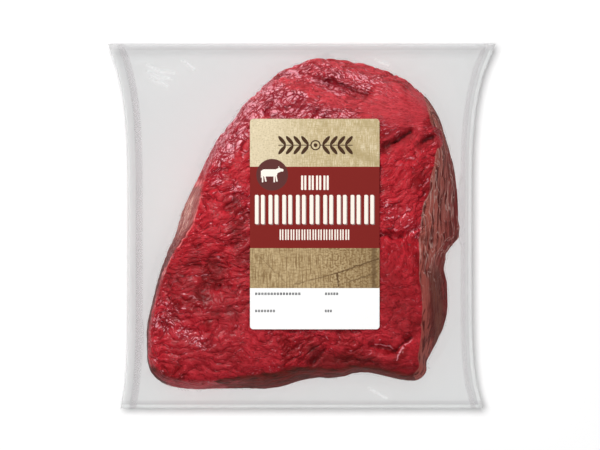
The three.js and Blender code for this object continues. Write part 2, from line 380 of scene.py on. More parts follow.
# %% What counts as a side
STEEP = (0.86, 0.74)  # a face counts as a side where its direction's upward part falls through this range
STEEP_LEFT = (0.68, 0.52)  # on the left it has to be steeper
STEEPER_NEAR = (2.0, -20.0, 0.24)  # and between these Y steeper still, by this much
UNDERNEATH = (-0.9, -0.6)  # where the upward part is as low as this, the face is the underside
FACES_RIGHT = (0.15, 0.4)  # how far a side has to be turned
FACES_NEAR = (-0.2, -0.45)
FACES_LEFT = (-0.2, -0.5)
RIGHT_FROM = (66.0, 70.0)  # mm, the right-hand side begins and is full at these X
RIGHT_OUT = (5.0, 22.0, 11.5)  # between these Y its start moves out by this much
RIGHT_LOBE = ((45.0, 50.0), (58.0, 64.0), 8.0)  # a lobe hangs over it from here to there, by this much
RIGHT_BACK = (66.0, 0.25)  # beyond this Y its start comes back in, by this much for each mm
NEAR_FROM = (-80.0, -84.0)  # the near side, at these Y
LEFT_FROM = (-48.0, -56.0)  # the left side, at these X
BLUR_STEPS = 6


# %% Store each point's place and side
def new_tree(name):
    """An empty tree of geometry nodes with one way in and one way out."""
    tree = bpy.data.node_groups.new(name, "GeometryNodeTree")
    for direction in ("INPUT", "OUTPUT"):
        tree.interface.new_socket("Geometry", in_out=direction, socket_type="NodeSocketGeometry")
    return tree


marking = new_tree("mark_the_faces")
place = put(marking, "GeometryNodeInputPosition")
east, north, up = split(marking, put(marking, "GeometryNodeInputNormal"))
x, y = split(marking, in_mm(marking, place), (0, 1))
steep = ramp(marking, up, *STEEP)
lobe = times(marking, ramp(marking, y, *RIGHT_LOBE[0]), ramp(marking, y, *RIGHT_LOBE[1], 1.0, 0.0),
             RIGHT_LOBE[2])
back_in = times(marking, highest(marking, minus(marking, y, RIGHT_BACK[0]), 0.0), RIGHT_BACK[1])
inset = minus(marking, x, ramp(marking, y, *RIGHT_OUT[:2], 0.0, RIGHT_OUT[2]), lobe)
inset = plus(marking, inset, back_in)
to_right = times(marking, ramp(marking, east, *FACES_RIGHT), ramp(marking, inset, *RIGHT_FROM), steep)
to_front = times(marking, ramp(marking, north, *FACES_NEAR), ramp(marking, y, *NEAR_FROM), steep)
slope = plus(marking, up, ramp(marking, y, *STEEPER_NEAR[:2], 0.0, STEEPER_NEAR[2]))
to_left = times(marking, ramp(marking, slope, *STEEP_LEFT), ramp(marking, east, *FACES_LEFT),
                ramp(marking, x, *LEFT_FROM))
sides = put(marking, "ShaderNodeCombineXYZ", {0: to_right, 1: to_front, 2: to_left})
sides = scaled(marking, sides, ramp(marking, up, *UNDERNEATH))
sides = put(marking, "GeometryNodeBlurAttribute", {"Value": sides, "Iterations": BLUR_STEPS},
            data_type="FLOAT_VECTOR")
marked = put(marking, "NodeGroupInput")
for name, value in (("lump_place", place), ("sides", sides)):
    sockets = {"Geometry": marked, "Name": name, "Value": value}
    marked = put(marking, "GeometryNodeStoreNamedAttribute", sockets, data_type="FLOAT_VECTOR")
put(marking, "NodeGroupOutput", {0: marked})
apply_modifier(beef, "NODES", node_group=marking)
print("stored:", [layer.name for layer in beef.data.attributes if layer.data_type == "FLOAT_VECTOR"])

# %% [markdown]
# ## The joint: folds and lobes
# A few folds are too marked to leave to a pattern. Each is pressed in as with a soft finger: the points
# along a line are selected and pushed down, and proportional editing draws their neighbours after them. A
# lobe is the same thing done upwards, with a rounder fall-off.

# %% The folds and lobes
FOLDS = [  # both ends seen from above, depth and reach, all in mm
    ((51, 49), (58, 52), 2.6, 3.0), ((58, 52), (67, 58.5), 3.4, 3.4), ((75, 52), (80.5, 55.3), 2.8, 3.2),
    ((-1, 95.5), (18, 89.5), 1.8, 3.2), ((18, 89.5), (40, 81.5), 3.2, 4), ((43, -74), (57, -77), 2.2, 3),
    ((57, -77.5), (67, -69), 2.2, 2.8), ((-50, -16), (-38, -10), 1.4, 4), ((-62, -40), (-44, -37), 1.8, 5),
    ((-78, -64), (-58, -66), 1.2, 3), ((50, 12), (62, 11), 1.4, 3), ((48, -5), (62, -7), 1.8, 3),
    ((62, -7), (74, 0), 1.4, 3), ((7, -84), (14, -76), 2.0, 4),
    ((-18, 77), (-22.5, 70), 1.6, 2.6), ((-19, 72.7), (-9, 72.7), 1.7, 2.6),
    ((-9, 72), (1, 77.6), 1.7, 2.6), ((12.5, 74.3), (8, 67.7), 1.6, 2.6),
    ((1.7, 76.2), (-1.8, 70.2), 1.6, 2.6), ((-39.6, 66), (-32, 65.2), 1.6, 2.6),
]
LOBES = [((82, 57), (86, 51), -1.6, 5), ((48, -84), (53, -83), -1.8, 8), ((64, -79), (69, -83), -2.8, 9),
         ((70, 61), (79, 59), -2.2, 6)]
LINE_WIDTH = 0.7 * MM  # points this close to the line are moved
UPPER_SIDE = 12 * MM  # and none lower than this


# %% Press folds in and lift lobes
def near_line(start, end):
    """A test for points of the upper side that lie on a line, seen from above."""
    a, b = Vector((*start, 0)) * MM, Vector((*end, 0)) * MM
    along = b - a

    def test(point):
        flat = Vector((point.co.x, point.co.y, 0))
        share = min(1, max(0, (flat - a).dot(along) / along.length_squared))
        return point.co.z > UPPER_SIDE and (a + share * along - flat).length < LINE_WIDTH
    return test


for start, end, depth, reach in FOLDS + LOBES:
    pick(beef, "VERT", near_line(start, end))
    bpy.ops.transform.translate(
        value=(0, 0, -depth * MM), use_proportional_edit=True, proportional_size=reach * MM,
        proportional_edit_falloff="SMOOTH" if depth < 0 else "SHARP")
bpy.ops.object.mode_set(mode="OBJECT")
print(len(FOLDS), "folds and", len(LOBES), "lobes")

# %% [markdown]
# ## The joint: bundles of fibre
# Cut across its grain, meat shows soft bundles of fibre with dark creases between. Two patterns make them.
# Noise is zero along long wavy lines where it passes through its middle value, and stretched along the grain
# those lines run as creases do. A Voronoi pattern adds the short cross creases that close the bundles off.
# The same nodes work in a geometry tree, which moves the mesh, and in a shader, which paints the creases
# dark as painted shade, so one function wires both. On the cut sides the layers show edge on, as long
# streaks.

# %% Sizes of the pattern
FOLD = (12.5, 6.4, 9.0)  # mm, along the grain, across it and through the joint
WRINKLE = (6.4, 3.8, 5.4)
BUNDLE = (9.0, 5.6, 7.0)
CRACKLE = (3.7, 2.4, 3.4)
GRAIN_CENTRE = -5.0  # mm, the grain arches over this X at the far end
GRAIN_RADIUS = 80.0
GRAIN_ARCH = (55.0, 85.0)  # the arch begins and is full at these Y
GRAIN_SLOPE = 0.36  # the grain climbs to the right beside the label
SLOPE_FADES = ((-35.0, 0.0), (60.0, 80.0))  # and lies level near and beyond these Y
CALM = [  # smoother places: the middle, about how far they reach, and how calm they are
    ((62, 70, 40), 27, 1.0), ((62, 26, 45), 16, 0.6), ((62, -40, 45), 34, 0.8), ((20, -80, 40), 30, 0.35),
    ((-46, -78, 40), 40, 0.6), ((63, -82, 45), 20, 0.9)]


# %% Noise and cells
def cells(tree, place, size):
    """Distance to the nearest edge of stretched cells of about that size in mm, as a share of the size."""
    sockets = {"Vector": vector(tree, "DIVIDE", place, size), "Scale": 1.0}
    return put(tree, "ShaderNodeTexVoronoi", sockets, "Distance", feature="DISTANCE_TO_EDGE")


def clouds(tree, place, size, detail=2.0, output=0):
    """Soft noise from 0 to 1, with patches of about that size in mm."""
    stretched = vector(tree, "DIVIDE", place, size if isinstance(size, tuple) else (size, size, size))
    return put(tree, "ShaderNodeTexNoise", {"Vector": stretched, "Scale": 1.0, "Detail": detail}, output)


def wavy_lines(tree, place, size, detail=1.5):
    """0 on wavy lines about as far apart as size, and up to 0.25 between them."""
    return calc(tree, "ABSOLUTE", minus(tree, clouds(tree, place, size, detail), 0.5))


def shaken(tree, place, size, by, detail=2.0):
    """A random shift of up to half of by each way, in patches of about that size."""
    noise = vector(tree, "SUBTRACT", clouds(tree, place, size, detail, "Color"), (0.5, 0.5, 0.5))
    return vector(tree, "MULTIPLY", noise, by)


# %% The pattern of the meat
def meat_pattern(tree, place):
    """Wires the pattern of the meat at a point of the smooth lump, given in metres."""
    at = in_mm(tree, place)
    x, y, z = split(tree, at)
    from_centre = minus(tree, x, GRAIN_CENTRE)
    rise = calc(tree, "DIVIDE", times(tree, from_centre, from_centre), 2 * GRAIN_RADIUS)
    arched = times(tree, ramp(tree, y, *GRAIN_ARCH), rise)
    climb = times(tree, ramp(tree, y, *SLOPE_FADES[0]), ramp(tree, y, *SLOPE_FADES[1], 1.0, 0.0),
                  -GRAIN_SLOPE, x)
    grain = put(tree, "ShaderNodeCombineXYZ", {0: x, 1: plus(tree, y, arched, climb), 2: z})
    wander = vector(tree, "ADD", shaken(tree, at, 24, (14, 18, 14)), shaken(tree, at, 6, (5, 4, 5)))
    grain = vector(tree, "ADD", grain, wander)
    calm = 0.0
    for middle, radius, share in CALM:
        near = ramp(tree, vector(tree, "DISTANCE", at, middle), 0.5 * radius, 1.3 * radius, share, 0.0)
        calm = highest(tree, calm, near)
    return {"at": at, "grain": grain, "streaked": vector(tree, "ADD", at, shaken(tree, at, 22, (9, 16, 9))),
            "rough": minus(tree, 1.0, calm), "fold": wavy_lines(tree, grain, FOLD),
            "wrinkle": wavy_lines(tree, grain, WRINKLE, 1.0), "bundle": cells(tree, grain, BUNDLE),
            "presence": clouds(tree, grain, (13, 8, 9)), "patches": clouds(tree, at, 17, 3.0)}


# %% Relief by geometry nodes
FOLD_DEPTH = 1.0  # mm
BUNDLE_DEPTH = 0.35
STREAK = (5.0, 34.0, 5.0)  # mm, the streaks on the right-hand cut face run along Y
STREAK_DEPTH = 0.2
OFF_THE_TABLE = (1.5 * MM, 5 * MM)  # the relief begins and is full at these heights


def wire_relief(tree):
    place, sides = [put(tree, "GeometryNodeInputNamedAttribute", {"Name": name}, data_type="FLOAT_VECTOR")
                    for name in ("lump_place", "sides")]
    to_right, to_front, to_left = split(tree, sides)
    pattern = meat_pattern(tree, place)

    def pressed(distance, width, depth):
        return ramp(tree, distance, 0.0, width, depth * MM, 0.0)

    top = plus(tree, pressed(pattern["fold"], 0.14, FOLD_DEPTH),
               pressed(pattern["bundle"], 0.3, BUNDLE_DEPTH))
    top = times(tree, top, ramp(tree, pattern["rough"], 0.0, 1.0, 0.3, 1.0),
                ramp(tree, pattern["presence"], 0.35, 0.62, 0.5, 1.2),
                ramp(tree, to_left, 0.0, 1.0, 1.0, 0.35))
    cut_face = pressed(wavy_lines(tree, pattern["streaked"], STREAK), 0.1, STREAK_DEPTH)
    on_side = highest(tree, to_right, to_front)
    depth = put(tree, "ShaderNodeMix", {"Factor": on_side, 2: top, 3: cut_face}, data_type="FLOAT")
    depth = times(tree, depth, ramp(tree, split(tree, place, (2,))[0], *OFF_THE_TABLE), -1.0)
    offset = scaled(tree, put(tree, "GeometryNodeInputNormal"), depth)
    moved = put(tree, "GeometryNodeSetPosition", {"Geometry": put(tree, "NodeGroupInput"), "Offset": offset})
    put(tree, "NodeGroupOutput", {0: moved})


relief = new_tree("meat_relief")
wire_relief(relief)
apply_modifier(beef, "NODES", node_group=relief)
take_in_hand(beef)
bpy.ops.object.shade_smooth()
print("relief pressed in;", len(beef.data.polygons), "faces")

# %% [markdown]
# ## The joint: raw beef
# Raw lean beef isn't one red, and some of its light and shade is painted into its colour. Its crests are
# painted paler than its hollows, as painted highlights, its creases are painted nearly black, as painted
# shade, and the far end, which faces the light, is painted pinker than the near one. The top also carries
# painted highlights: pale cells with darker red cracks between them, and pale flecks and bands on the
# crests.
# The sides are cut with the grain, so they are browner and streaked, and the left one carries a pale flap of
# sinew; the near sides are also painted darker, as painted shade, and pale painted highlights run along the
# rims. All this is painted as a painter would, coat over coat: each coat is a colour and the share of it
# that shows, and the share comes from the pattern that made the relief, so the painted shade lies in real
# creases.

# %% Colours of the meat
# Several of these colours are painted light: the pale ones serve as painted highlights on crests, flecks and
# rims, the far tint is painted light, and the crease, crack, dark, deep and near-side colours serve as
# painted shade, beside their own tone
LEAN = paint(184, 31, 43)
LEAN_NEAR_SHADED = paint(173, 30, 42)
LEAN_PALE_HIGHLIGHT = paint(206, 56, 66)
LEAN_DEEP_TONE_AND_SHADE = paint(136, 12, 20)
LEAN_SHADE_AND_DARK_TONE = paint(84, 20, 18)
FAR_LEAN_LIT = paint(198, 68, 76)
CREASE_SHADE = paint(84, 4, 10)
SHEEN_HIGHLIGHT = paint(226, 148, 160)
CRACK_SHADE = paint(134, 16, 34)
RIGHT_SIDE = paint(172, 90, 80)
RIGHT_SIDE_LOW = paint(132, 44, 42)
RIGHT_SIDE_DEEP_AND_SHADE = paint(92, 34, 30)
RIGHT_SIDE_BROWN = paint(116, 66, 54)
SINEW_AND_RIM_HIGHLIGHT = paint(206, 160, 150)
NEAR_SIDE_SHADED = paint(122, 36, 32)
NEAR_SIDE_SHADED_DEEP = paint(78, 32, 24)
LEFT_SIDE = paint(164, 96, 92)
LEFT_SIDE_DEEP = paint(132, 48, 48)
LEFT_SIDE_NEAR_SHADE = paint(74, 26, 24)
LEFT_RIM_HIGHLIGHT = paint(228, 128, 128)
FLAP = paint(196, 136, 128)
FLAP_DEEP = paint(146, 72, 66)
FLAP_VEIN = paint(236, 194, 180)

# %% Where painted shade and darker tone lie on the meat, and where painted highlights lie
# painted shade: the meat is painted darker beside folds and crevices and along the near edge, and in a few
# patches of darker tone
DARK_SHADE_AND_TONE = [  # both ends of a line seen from above, how far round it the meat is darker, and how much
    ((10, -85), (44, -87), 11, 0.65), ((44, -88), (74, -90), 7, 0.5), ((-64, -41), (-60, -44), 6, 0.6),
    ((-55, -22), (-52, -31), 7, 0.45), ((-45, -52), (-41, -55), 6, 0.5), ((7, -77), (9, -82), 6, 0.6),
    ((-86, -28), (-70, -36), 8, 0.4), ((50, -30), (66, -60), 16, 0.3), ((-40, 0), (-36, -20), 8, 0.4),
    ((-76, -32), (-44, -48), 24, 0.22), ((-70, -78), (-40, -84), 16, 0.15), ((48, -80), (68, -82), 14, 0.22),
    ((51, 49), (66, 56), 5, 0.5), ((73, 50), (80, 54), 4, 0.5), ((20, 88), (38, 81), 5, 0.35)]
SHEEN_LINES = [  # the same for the painted highlights, pale cells with darker red cracks between them
    ((-50, 47), (-35, 66), 13, 1.0), ((-59, 40), (-53, 31), 9, 0.6), ((-33, 74), (-19, 72), 7, 1.3),
    ((-20, 82), (-4, 72), 14, 1.0), ((6, 72), (30, 67), 8, 0.75), ((-21, 82), (0, 80), 5, 1.4),
    ((3, 73), (10, 70), 6, 1.25), ((-17, 68.5), (-10, 68.5), 5, 1.2), ((-2, 97), (38, 88), 11, 0.72),
    ((14, 89), (25, 85), 5, 1.0), ((-12, 95), (-6, 94), 4, 0.9), ((-90, -58), (-60, -73), 7, 0.5),
    ((-88, -50), (-76, -54), 7, 0.4), ((52, 10), (72, -4), 8, 0.42), ((-42, 24), (-30, 12), 8, 0.35),
    ((46, 64), (60, 57), 7, 0.5), ((68, 64), (83, 56), 6, 0.25), ((44, 92), (56, 82), 8, 0.4)]
HIGHLIGHT_BANDS = [  # smooth painted highlights along the crests of folds, and half their width
    ((12, 91), (25, 87), 1.4), ((14, 85.5), (22, 82), 1.4), ((-8, 96.5), (-3, 94.5), 1.4),
    ((60, -78), (67.5, -70), 0.7), ((58.6, -83), (59.6, -79), 0.6), ((44.5, -73), (49, -73.3), 0.6),
    ((49, -73.3), (56, -75.5), 0.6)]


def fading(lines):
    """What beside takes, for lines that are given with a reach and a share."""
    return [(start, end, 0.3 * reach, reach, share) for start, end, reach, share in lines]


# %% Start the finish, and fray the borders between its faces
FRAY = (9, 9, 4)  # mm
RED_TIP = (-96, -80, -60, -40)  # the left tip of the near side stays lean, fading in and out at these X
LEFT_ENDS = (34, 16)  # the left side is full from the second of these Y, and gone beyond the first
LEFT_TUCKED = (-40, -14)  # nearer than this the lean top rolls over the left side's upper edge
TUCK = (27, 20)  # down to these heights

raw_beef, tree, shell = new_finish("raw_beef")
pattern = meat_pattern(tree, read(tree, "lump_place", "Vector"))
at, grain, streaked, fold, rough = [pattern[key] for key in ("at", "grain", "streaked", "fold", "rough")]
along_x, along_y, up_z = split(tree, at)
wobbly = vector(tree, "ADD", at, shaken(tree, at, 5, (4, 4, 0)))

to_right, to_front, to_left = split(tree, read(tree, "sides", "Vector"))
ragged = times(tree, minus(tree, clouds(tree, at, FRAY, 3.5), 0.5), 1.5)
frayed_x = plus(tree, along_x, times(tree, ragged, 34))
red_tip = times(tree, ramp(tree, frayed_x, *RED_TIP[:2]), ramp(tree, frayed_x, *RED_TIP[2:], 0.95, 0.0))
to_front = minus(tree, plus(tree, to_front, ragged), red_tip)
tucked = highest(tree, ramp(tree, plus(tree, up_z, times(tree, ragged, 12)), *TUCK),
                 ramp(tree, along_y, *LEFT_TUCKED))
to_left = times(tree, to_left, ramp(tree, plus(tree, along_y, times(tree, ragged, 16)), *LEFT_ENDS),
                plus(tree, times(tree, ragged, 1.2), 1.0), tucked)
print("pattern and sides:", len(tree.nodes), "nodes")

# %% Lean meat, with painted highlights on the crests and painted shade in the hollows and creases
# painted light: the lean meat is painted darker toward the near end and pinker toward the far end, which
# faces the light
NEAR_TO = (-56.0, -20.0)  # the near tint of the lean meat gives way to the middle one between these Y
FAR_FROM = (36.0, 80.0)  # and that one to the far one

fine = clouds(tree, grain, (4.2, 2.8, 3.4), 2.5)
speck = clouds(tree, grain, (1.7, 1.1, 1.4), 2.0)
# painted highlight: the crests of the folds are painted paler
crest_highlight = times(tree, ramp(tree, fold, 0.03, 0.15), ramp(tree, fine, 0.4, 0.66), 0.5)
# painted shade: the creases of the relief are painted nearly black
crease_shade = highest(tree, ramp(tree, fold, 0.05, 0.0, 0.0, 0.62),
                 ramp(tree, pattern["wrinkle"], 0.04, 0.0, 0.0, 0.3),
                 ramp(tree, pattern["bundle"], 0.08, 0.0, 0.0, 0.4))
crease_shade = times(tree, crease_shade, ramp(tree, pattern["presence"], 0.35, 0.6, 0.35, 1.0),
               ramp(tree, rough, 0.0, 1.0, 0.35, 1.0))
# painted shade: the deeper folds are painted dark along their lines
folded = beside_any(tree, wobbly, [
    (start, end, 0.2, 1.5, min(0.85, 0.3 * depth)) for start, end, depth, reach in FOLDS if depth > 1.5])
dark_shade_and_tone = beside_any(tree, wobbly, fading(DARK_SHADE_AND_TONE))
lean = painted(
    tree, LEAN_NEAR_SHADED,
    (ramp(tree, along_y, *NEAR_TO), LEAN),
    (ramp(tree, along_y, *FAR_FROM, 0.0, 0.85), FAR_LEAN_LIT),
    (ramp(tree, pattern["patches"], 0.5, 0.34), LEAN_DEEP_TONE_AND_SHADE),
    (crest_highlight, LEAN_PALE_HIGHLIGHT),
    # painted shade and highlight at a fine scale: the hollows of the fine bumps and specks are painted
    # deeper, and the raised specks paler
    (ramp(tree, fine, 0.5, 0.34, 0.0, 0.4), LEAN_DEEP_TONE_AND_SHADE),
    (ramp(tree, speck, 0.46, 0.3, 0.0, 0.55), CREASE_SHADE),
    (ramp(tree, speck, 0.54, 0.7, 0.0, 0.4), LEAN_PALE_HIGHLIGHT),
    (highest(tree, crease_shade, folded), CREASE_SHADE),
    (dark_shade_and_tone, LEAN_SHADE_AND_DARK_TONE))
print("with the lean meat:", len(tree.nodes), "nodes")

# %% Painted highlights: pale flecks, so many where the sheen is painted that they join up and only cracks stay red
# painted highlights: pale cells where the meat is painted to shine, pale flecks, and glints painted beside
# the creases
sheen_mask = beside_any(tree, at, fading(SHEEN_LINES))
crackle = cells(tree, vector(tree, "ADD", grain, shaken(tree, at, 2.4, (2, 2, 2))), CRACKLE)
cracked = highest(tree, ramp(tree, crackle, 0.12, 0.03), ramp(tree, fold, 0.035, 0.005),
                  ramp(tree, pattern["bundle"], 0.1, 0.03),
                  ramp(tree, pattern["wrinkle"], 0.02, 0.0, 0.0, 0.7))
glint_flecks = plus(tree, clouds(tree, grain, (2.0, 1.1, 1.6), 2.5), times(tree, sheen_mask, 0.34),
              times(tree, minus(tree, clouds(tree, grain, (12, 6, 8)), 0.5), 0.5))
glint_flecks = times(tree, ramp(tree, glint_flecks, 0.63, 0.75), ramp(tree, sheen_mask, 0.0, 0.5, 0.55, 1.0),
               minus(tree, 1.0, cracked), ramp(tree, plus(tree, rough, sheen_mask), 0.15, 0.8, 0.3, 1.0))
edge_glint = times(tree, ramp(tree, fold, 0.02, 0.045), ramp(tree, fold, 0.085, 0.05),
                 ramp(tree, clouds(tree, at, (5, 4, 4), 2.0), 0.6, 0.7),
                 ramp(tree, rough, 0.0, 1.0, 0.2, 0.65))
glint_flecks = times(tree, highest(tree, glint_flecks, edge_glint),
               ramp(tree, highest(tree, dark_shade_and_tone, folded), 0.1, 0.5, 1.0, 0.1))
# painted shade: the cracks between the painted highlight cells are painted a darker red
cracks_in_sheen = times(tree, cracked, sheen_mask)
lean = painted(tree, lean, (times(tree, cracks_in_sheen, 0.6), CRACK_SHADE), (times(tree, glint_flecks, 0.85), SHEEN_HIGHLIGHT))
# painted highlights: smooth pale bands along a few fold crests
for start, end, width in HIGHLIGHT_BANDS:
    highlight_band = times(tree, beside(tree, wobbly, start, end, 0.2 * width, width, 0.4 + 0.3 * width),
                 ramp(tree, folded, 0.1, 0.4, 1.0, 0.0), ramp(tree, fine, 0.38, 0.5))
    lean = painted(tree, lean, (highlight_band, SHEEN_HIGHLIGHT))
print("with the painted_sheen:", len(tree.nodes), "nodes")

# %% The left side, and its pale flap
FLAP_AT = (-74, 8, 24)  # mm
FLAP_REACH = 19

strata = clouds(tree, streaked, (12, 14, 1.6), 3.0)
flap = ramp(tree, vector(tree, "DISTANCE", at, FLAP_AT), 0.5 * FLAP_REACH, FLAP_REACH, 1.0, 0.0)
net = ramp(tree, wavy_lines(tree, streaked, (6, 9, 5)), 0.03, 0.0, 0.0, 0.8)
flap_colour = painted(tree, FLAP_DEEP, (ramp(tree, strata, 0.4, 0.6), FLAP), (net, FLAP_VEIN))
# painted shade: the left side is painted darker toward the near end
left_side = painted(tree, LEFT_SIDE_DEEP, (ramp(tree, strata, 0.36, 0.64), LEFT_SIDE),
                    (ramp(tree, along_y, 8, -30, 0.0, 0.75), LEFT_SIDE_NEAR_SHADE), (flap, flap_colour))
# painted highlight: a pale line along the left rim
broken = ramp(tree, clouds(tree, at, 9), 0.38, 0.56, 0.1, 0.85)
left_rim_highlight = times(tree, ramp(tree, to_left, 0.15, 0.4), ramp(tree, to_left, 0.65, 0.4, 0.0, broken),
                 ramp(tree, along_y, -72, -56))
lean = painted(tree, lean, (ramp(tree, to_left, 0.45, 0.65), left_side), (left_rim_highlight, LEFT_RIM_HIGHLIGHT))
print("with the left side:", len(tree.nodes), "nodes")

# %% The near and right-hand sides, cut with the grain
FACET_EDGE = ((78.8, -27), (81.5, -74))  # mm, a crease down the right-hand side, flatter beyond it
FACET_SLANT = (FACET_EDGE[1][0] - FACET_EDGE[0][0]) / (FACET_EDGE[0][1] - FACET_EDGE[1][1])
VEIN_LEAN = 0.16  # one of the two sets of veins leans by this much against the other

# painted shade: the near side's browns are painted darker, as it faces away from the key lamp
mottled = times(tree, plus(tree, strata, clouds(tree, at, (7, 7, 4), 3.0)), 0.5)
near_side_shaded = painted(tree, NEAR_SIDE_SHADED_DEEP, (ramp(tree, mottled, 0.4, 0.6), NEAR_SIDE_SHADED))

wobbly_x, wobbly_y = split(tree, wobbly, (0, 1))
past_facet = plus(tree, minus(tree, wobbly_x, FACET_EDGE[0][0]),
                  times(tree, minus(tree, wobbly_y, FACET_EDGE[0][1]), FACET_SLANT))
low_down = highest(
    tree, ramp(tree, plus(tree, up_z, times(tree, pattern["patches"], 16)), 44, 22),
    times(tree, ramp(tree, along_y, -14, -34), ramp(tree, past_facet, -1.5, 0.5, 0.3, 1.0)))
brown = times(tree, ramp(tree, past_facet, -0.5, 1.0), ramp(tree, past_facet, 8.5, 5.5), 0.8,
              ramp(tree, along_y, -20, -32))
streaks = ramp(tree, clouds(tree, streaked, (1.7, 26, 3), 3.0), 0.56, 0.36)
slant = put(tree, "ShaderNodeCombineXYZ", {0: times(tree, along_y, VEIN_LEAN)})
leaning = vector(tree, "ADD", streaked, slant)
veins = calc(tree, "MINIMUM", wavy_lines(tree, streaked, (3.2, 40, 6)),
             wavy_lines(tree, leaning, (3.6, 34, 6)))
veins = times(tree, ramp(tree, veins, 0.022, 0.004, 0.0, 0.75),
              ramp(tree, clouds(tree, streaked, (6, 24, 6)), 0.36, 0.56),
              ramp(tree, along_y, -46, -16, 0.03, 1.0))
right_side = painted(
    tree, RIGHT_SIDE,
    (low_down, RIGHT_SIDE_LOW),
    (brown, RIGHT_SIDE_BROWN),
    (streaks, RIGHT_SIDE_DEEP_AND_SHADE),
    # painted shade: the crease down the right-hand side is painted dark
    (beside(tree, wobbly, *FACET_EDGE, 0.3, 2.2, 0.55), RIGHT_SIDE_DEEP_AND_SHADE),
    (veins, SINEW_AND_RIM_HIGHLIGHT))
# painted highlight: a pale line along the right-hand rim, in the sinew colour
right_rim_highlight = times(tree, ramp(tree, to_right, 0.34, 0.5), ramp(tree, to_right, 0.66, 0.5, 0.0, broken),
                  ramp(tree, along_y, -56, -30, 0.15, 0.6), ramp(tree, along_y, 34, 22, 0.25, 1.0))
colour = painted(
    tree, lean,
    (ramp(tree, to_front, 0.2, 0.9), near_side_shaded),
    (ramp(tree, to_right, 0.4, 0.6), right_side),
    (right_rim_highlight, SINEW_AND_RIM_HIGHLIGHT))
print("with every side:", len(tree.nodes), "nodes")

# %% The wet gloss, and the fine relief that the mesh is too coarse for, in mm
edge_on = highest(tree, to_right, ramp(tree, to_front, 0.4, 0.6))
wet_patches = ramp(tree, clouds(tree, at, 7, 2.0), 0.5, 0.66, 0.02, 0.16)
wet = times(tree, highest(tree, times(tree, glint_flecks, 0.6), wet_patches), minus(tree, 1.0, edge_on))
height = plus(tree, times(tree, fine, 0.34), ramp(tree, pattern["wrinkle"], 0.0, 0.09, 0.0, 0.18),
              ramp(tree, fold, 0.0, 0.06, 0.0, 0.25), times(tree, speck, 0.12))
height = times(tree, height, ramp(tree, rough, 0.0, 1.0, 0.5, 1.0))
height = plus(tree, minus(tree, height, times(tree, cracks_in_sheen, 0.18)), times(tree, veins, edge_on, 0.2))
bump = put(tree, "ShaderNodeBump", {"Height": height, "Strength": 1.0, "Distance": 1.0 * MM})
plug(tree, shell, {
    "Base Color": colour, "Roughness": ramp(tree, edge_on, 0.0, 1.0, 0.5, 0.65), "Specular IOR Level": 0.07,
    "Subsurface Weight": 0.1, "Subsurface Radius": (1.0, 0.25, 0.2), "Subsurface Scale": 1.0 * MM,
    "Coat Weight": wet, "Coat Roughness": 0.14, "Coat IOR": 1.45, "Normal": bump, "Coat Normal": bump})
beef.data.materials.append(raw_beef)
print("raw beef:", len(tree.nodes), "nodes")

# %% [markdown]
# ## The film
# The pouch is two clear films, welded together round the edge and sucked tight onto the meat. The solid
# already has the margin and its welded bands. Cut into small faces, its middle can be wrapped onto the
# finished joint, a quarter of a millimetre outside it, so the film follows each bundle as the real one does.
# Its outer edge and its four corners are creased first, because subdivision would round them off.

# %% The edge of the film
MARGIN_TOP = 10.5 * MM  # the flat margin lies lower than this
MARGIN_FOOT = 4 * MM  # and higher than this
RIM_FROM = (102 * MM, 103.5 * MM)  # the outer edge lies beyond one of these X or Y
RIM_TOP = 11 * MM
CORNER = 0.1 * MM  # points this close to the farthest one of their quarter are a corner


def on_rim(face):
    """True for the narrow strip of faces that is the film's outer edge."""
    middle = face.calc_center_median()
    outermost = abs(middle.x) > RIM_FROM[0] or abs(middle.y) > RIM_FROM[1]
    return abs(face.normal.z) < 0.3 and MARGIN_FOOT < middle.z < RIM_TOP and outermost


film = copy_of_solid("pouch", "pouch_film")
print("edge of", pick(film, "FACE", on_rim), "faces")
bpy.ops.transform.edge_crease(value=1)
farthest = {}
for point in film.data.vertices:
    quarter = (point.co.x > 0, point.co.y > 0)
    farthest[quarter] = max(farthest.get(quarter, 0), point.co.xy.length)
pick(film, "VERT", lambda v: v.co.xy.length > farthest[(v.co.x > 0, v.co.y > 0)] - CORNER)
bpy.ops.transform.vert_crease(value=1)
bpy.ops.object.mode_set(mode="OBJECT")
apply_modifier(film, "SUBSURF", levels=2, render_levels=2)


# %% Measure how far each point lies from the edge
def surface(piece, wanted=lambda face: True):
    """The faces of a piece for which wanted is true, as something to measure distances to."""
    return BVHTree.FromPolygons([point.co for point in piece.data.vertices],
                                [face.vertices for face in piece.data.polygons if wanted(face)])


def distances(piece, target):
    """How far each point of a piece lies from a surface, in mm."""
    return [target.find_nearest(point.co)[3] / MM for point in piece.data.vertices]


def store(piece, name, values):
    """Writes a number for each point into a piece, where its finish can read it."""
    piece.data.attributes.new(name, "FLOAT", "POINT").data.foreach_set("value", values)


pick(film, "FACE", on_rim)
bpy.ops.object.mode_set(mode="OBJECT")
side_rims = surface(film, lambda face: face.select and abs(face.normal.x) > abs(face.normal.y))
end_rims = surface(film, lambda face: face.select and abs(face.normal.x) < abs(face.normal.y))
store(film, "from_side_rims", distances(film, side_rims))
store(film, "from_end_rims", distances(film, end_rims))
print("stored:", [layer.name for layer in film.data.attributes if layer.name.startswith("from_")])

# %% Draw the margin flat and wrap the middle onto the meat
FILM_GAP = 0.25 * MM
CLING = (4.0, 2.0)  # mm, film further off the meat is left alone, and nearer than the second it clings

